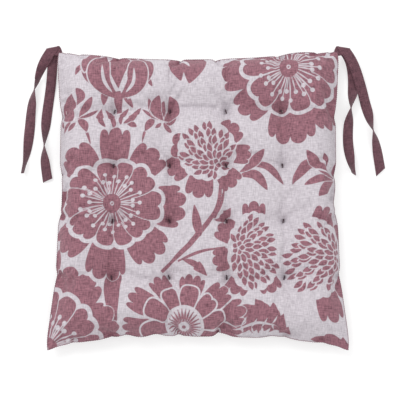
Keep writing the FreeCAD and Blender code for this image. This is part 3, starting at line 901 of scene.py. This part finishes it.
def polyester_fibre(name):
    """Matt white fibre wadding with a tangle of fine strands."""
    material, tree = new_material(name)
    place = add(tree, "UVMap", uv_map="cloth").outputs[0]
    strands = add(tree, "TexNoise", {
        "Vector": place, "Scale": CLUMPS_PER_METRE, "Detail": 4.0, "Distortion": 2.0,
    })
    tone = add(tree, "MixRGB", {
        0: strands.outputs[0], 1: linear("#DEDCD8"), 2: linear("#F3F1EE"),
    })
    bump = add(tree, "Bump", {"Height": strands.outputs[0], "Strength": 0.6, "Distance": 0.001})
    fibre = add(tree, "BsdfPrincipled", {
        "Base Color": tone.outputs[0], "Roughness": 0.95, "IOR": 1.57, "Normal": bump.outputs[0],
        "Subsurface Weight": 0.1, "Subsurface Radius": (0.003, 0.003, 0.003),
    })
    add(tree, "OutputMaterial", {0: fibre.outputs[0]})
    return material


fibre_faces = []
middle = (top_points + base_points) / 2
filled = np.full((fine_x, fine_y, 1), FIBRE_SHARE)
for x, y in tuft_places:
    apart = np.hypot(middle[..., :1] - x, middle[..., 1:2] - y)
    filled *= 1 - 0.6 * np.exp(-((apart / 0.014) ** 2))
for panel, step in ((top_points, 1), (base_points, -1)):
    inner_face = (middle + (panel - middle) * filled)[::FIBRE_STEP, ::FIBRE_STEP] * FIBRE_SHRINK
    fibre_faces.append((inner_face[::step], cloth_xy[::FIBRE_STEP, ::FIBRE_STEP][::step]))
filling = grid_mesh("fibre_filling", fibre_faces)
filling.data.materials.append(polyester_fibre("polyester_fibre_fill"))
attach(filling, "pad")
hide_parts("filling")


# ---- Edge seam
# A lockstitch of spun polyester thread all round, in the mauve of the ties, which shows between the
# panels as a fine line that dips at each stitch.
SEAM_THREAD = 0.0008
SEAM_STITCH = 0.003
STITCH_POINTS = 5
PLY_TURNING = 4200.0    # radians a metre, which is a ply every 1.5 mm
UPWARD = np.array([0.0, 0.0, 1.0])
SIDEWAYS = np.array([1.0, 0.0, 0.0])


def spun_thread(name, dark, light, refraction):
    """Spun thread, soft and matt like the cloth, with fine slanting plies, painted darker in the grooves
    between them and lighter on their crowns as shade and light would fall.
    """
    material, tree = new_material(name)
    flat = add(tree, "UVMap", uv_map="cloth").outputs[0]
    axes = add(tree, "SeparateXYZ", {0: flat})
    slope = add(tree, "Math", {0: axes.outputs[0], 1: 2.0, 2: axes.outputs[1]}, operation="MULTIPLY_ADD")
    turns = add(tree, "Math", {0: slope.outputs[0], 1: PLY_TURNING}, operation="MULTIPLY")
    ply = add(tree, "Math", {0: turns.outputs[0]}, operation="SINE")
    ply_relief_and_shade = add(tree, "MapRange", {0: ply.outputs[0], 1: -1.0, 2: 1.0, 3: 0.0, 4: 1.0})
    # painted shade and light: the ply relief runs the colour from dark in the grooves to light on the
    # crowns
    tone = add(tree, "MixRGB", {0: ply_relief_and_shade.outputs[0], 1: linear(dark), 2: linear(light)})
    bump = add(tree, "Bump", {"Height": ply_relief_and_shade.outputs[0], "Strength": 0.5, "Distance": 0.0001})
    thread = add(tree, "BsdfPrincipled", {
        "Base Color": tone.outputs[0], "Roughness": 0.8, "IOR": refraction, "Normal": bump.outputs[0],
    })
    add(tree, "OutputMaterial", {0: thread.outputs[0]})
    return material


def directions_round(line, usual, other):
    """Two directions square to a line and to each other, from the hint that isn't along it."""
    along = unit(np.gradient(line, axis=0))
    hint = np.where(abs(along @ usual)[:, None] < 0.8, usual, other)
    across = unit(np.cross(hint, along))
    return across, np.cross(along, across)


def tube(line, radius, sides=6):
    """The surface of a round thread along a line, and its cloth coordinates."""
    across, up = directions_round(line, UPWARD, SIDEWAYS)
    reach = distance_along(line)
    rings, cloth = [], []
    for index in range(sides):
        turn = 2 * math.pi * index / sides
        rings.append(line + radius * (across * math.cos(turn) + up * math.sin(turn)))
        cloth.append(np.stack([reach, np.full_like(reach, radius * turn)], axis=1))
    return np.stack(rings, axis=1), np.stack(cloth, axis=1)


rim = np.vstack([
    top_points[:-1, 0], top_points[-1, :-1], top_points[:0:-1, -1], top_points[0, :0:-1],
])
rim = even_spacing(np.vstack([rim, rim[:1]]), SEAM_STITCH / STITCH_POINTS)
outwards = unit(np.cross(np.gradient(rim, axis=0), UPWARD))
dips = np.cos(2 * math.pi * np.arange(len(rim)) / STITCH_POINTS)[:, None]
seam = grid_mesh(
    "edge_seam_thread", [tube(rim + outwards * (0.0001 + 0.00025 * dips), SEAM_THREAD / 2)],
    closed_across=True,
)
# the two colours are the thread's painted groove shade and its painted lit crown
seam_polyester = spun_thread("spun_polyester_thread", "#6B4854", "#8C6570", 1.57)
seam.data.materials.append(seam_polyester)
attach(seam, "pad")
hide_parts("edge_seam")


# ---- Closing stitches
# The stuffing opening in the rear edge, closed by hand with slanted ladder stitches just under the
# edge seam.
CLOSING_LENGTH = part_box("closing_stitch")[1][0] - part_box("closing_stitch")[0][0]
HAND_STITCH = 0.0065
rear_line = []
for index in range(int(CLOSING_LENGTH / HAND_STITCH) * 2):
    across_at = -CLOSING_LENGTH / 2 + index * HAND_STITCH / 2
    column = int(np.argmin(abs(cloth_x[:, 0] - across_at)))
    inset = 3 if index % 2 else 1
    place = base_points[column, -1 - inset]
    above = top_points[column, -2]
    rear_line.append(place + (0, 0.0004, -0.0004) if index % 2 else above + (0, 0.0005, 0.0002))
ladder = even_spacing(np.array(rear_line), 0.0008)
closing = grid_mesh("closing_hand_stitches", [tube(ladder, 0.00045)], closed_across=True)
closing.data.materials.append(seam_polyester)
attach(closing, "pad")
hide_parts("closing_stitch")


# ---- Tuft stitches
# Doubled waxed cotton twine through the whole pad at 16 places, with a short bar on each face that
# pulls a dimple into the cloth. Two plies twist round each other.
TWINE_PLY = 0.0005
TWINE_TURN = 0.004
TWINE_STEP = 0.0005
BAR_HALF = 0.0032
# the two colours are the twine's painted groove shade and its painted lit crown
twine_cotton = spun_thread("waxed_cotton_twine", "#3E2A33", "#5C434E", 1.46)
for row in range(1, 5):
    for column in range(1, 5):
        x, y = tuft_places[4 * (row - 1) + column - 1]
        levels = []
        for panel in (top_points, base_points):
            apart = np.hypot(panel[..., 0] - x, panel[..., 1] - y)
            levels.append(panel[..., 2][apart < 0.004].mean())
        lean = 0.0009 * math.sin(7 * row + 5 * column)
        corner = 0.0008
        half_loop = [
            (x, y, levels[0] + 0.0009), (x + lean, y + BAR_HALF - corner, levels[0] + 0.0006),
            (x + lean, y + BAR_HALF, levels[0] - 0.001), (x, y + BAR_HALF * 0.5, SEAM_HEIGHT),
            (x - lean, y + BAR_HALF, levels[1] + 0.001),
            (x - lean, y + BAR_HALF - corner, levels[1] + 0.0002), (x, y, levels[1] + 0.0001),
        ]
        other_half = [(2 * x - px, 2 * y - py, pz) for px, py, pz in half_loop[-2:0:-1]]
        loop = np.array(half_loop + other_half + half_loop[:1])
        route = even_spacing(loop, TWINE_STEP)
        for _ in range(3):
            route[1:-1] = (route[:-2] + route[1:-1] + route[2:]) / 3
        across, up = directions_round(route, SIDEWAYS, UPWARD)
        turn = (2 * math.pi * np.arange(len(route)) * TWINE_STEP / TWINE_TURN)[:, None]
        plies = []
        for shift in (0, math.pi):
            offset = across * np.cos(turn + shift) + up * np.sin(turn + shift)
            plies.append(tube(route + TWINE_PLY * 0.8 * offset, TWINE_PLY))
        tuft = grid_mesh(f"tuft_twine_{row}_{column}", plies, closed_across=True)
        tuft.data.materials.append(twine_cotton)
        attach(tuft, "pad")
        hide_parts(f"tuft_stitch_{row}_{column}")


# ---- Floor and light
# The pad lies on a wide sheet of opal acrylic lit from below, which keeps its shadows faint. One
# large softbox from the rear left and a weaker one from the front right light it evenly.
FLOOR_HALF = 9
floor_mesh = bpy.data.meshes.new("studio_floor")
floor_corners = [(x * FLOOR_HALF, y * FLOOR_HALF, 0) for x, y in ((-1, -1), (1, -1), (1, 1), (-1, 1))]
floor_mesh.from_pydata(floor_corners, [], [(0, 1, 2, 3)])
floor = bpy.data.objects.new("studio_floor", floor_mesh)
floor.location.z = -0.0003
bpy.context.scene.collection.objects.link(floor)
opal, opal_tree = new_material("opal_acrylic_lit_from_below")
opal_shader = add(opal_tree, "BsdfPrincipled", {
    "Base Color": linear("#B9B9B9"), "Roughness": 0.9,
    "Emission Color": (1, 1, 1, 1), "Emission Strength": 0.55,
})
add(opal_tree, "OutputMaterial", {0: opal_shader.outputs[0]})
floor_mesh.materials.append(opal)

world = bpy.data.worlds.new("studio_surround")
bpy.context.scene.world = world
world.use_nodes = True
world.node_tree.nodes["Background"].inputs[0].default_value = (1, 1, 1, 1)
world.node_tree.nodes["Background"].inputs[1].default_value = 0.8


def softbox(name, place, size, power):
    light = bpy.data.lights.new(name, "AREA")
    light.shape = "SQUARE"
    light.size = size
    light.energy = power
    lamp = bpy.data.objects.new(name, light)
    lamp.location = place
    lamp.rotation_euler = Vector(place).to_track_quat("Z", "Y").to_euler()
    bpy.context.scene.collection.objects.link(lamp)


softbox("key_softbox", (-0.9, 1.1, 1.6), 1.0, 20)
softbox("fill_softbox", (1.2, -0.8, 1.8), 1.4, 9)
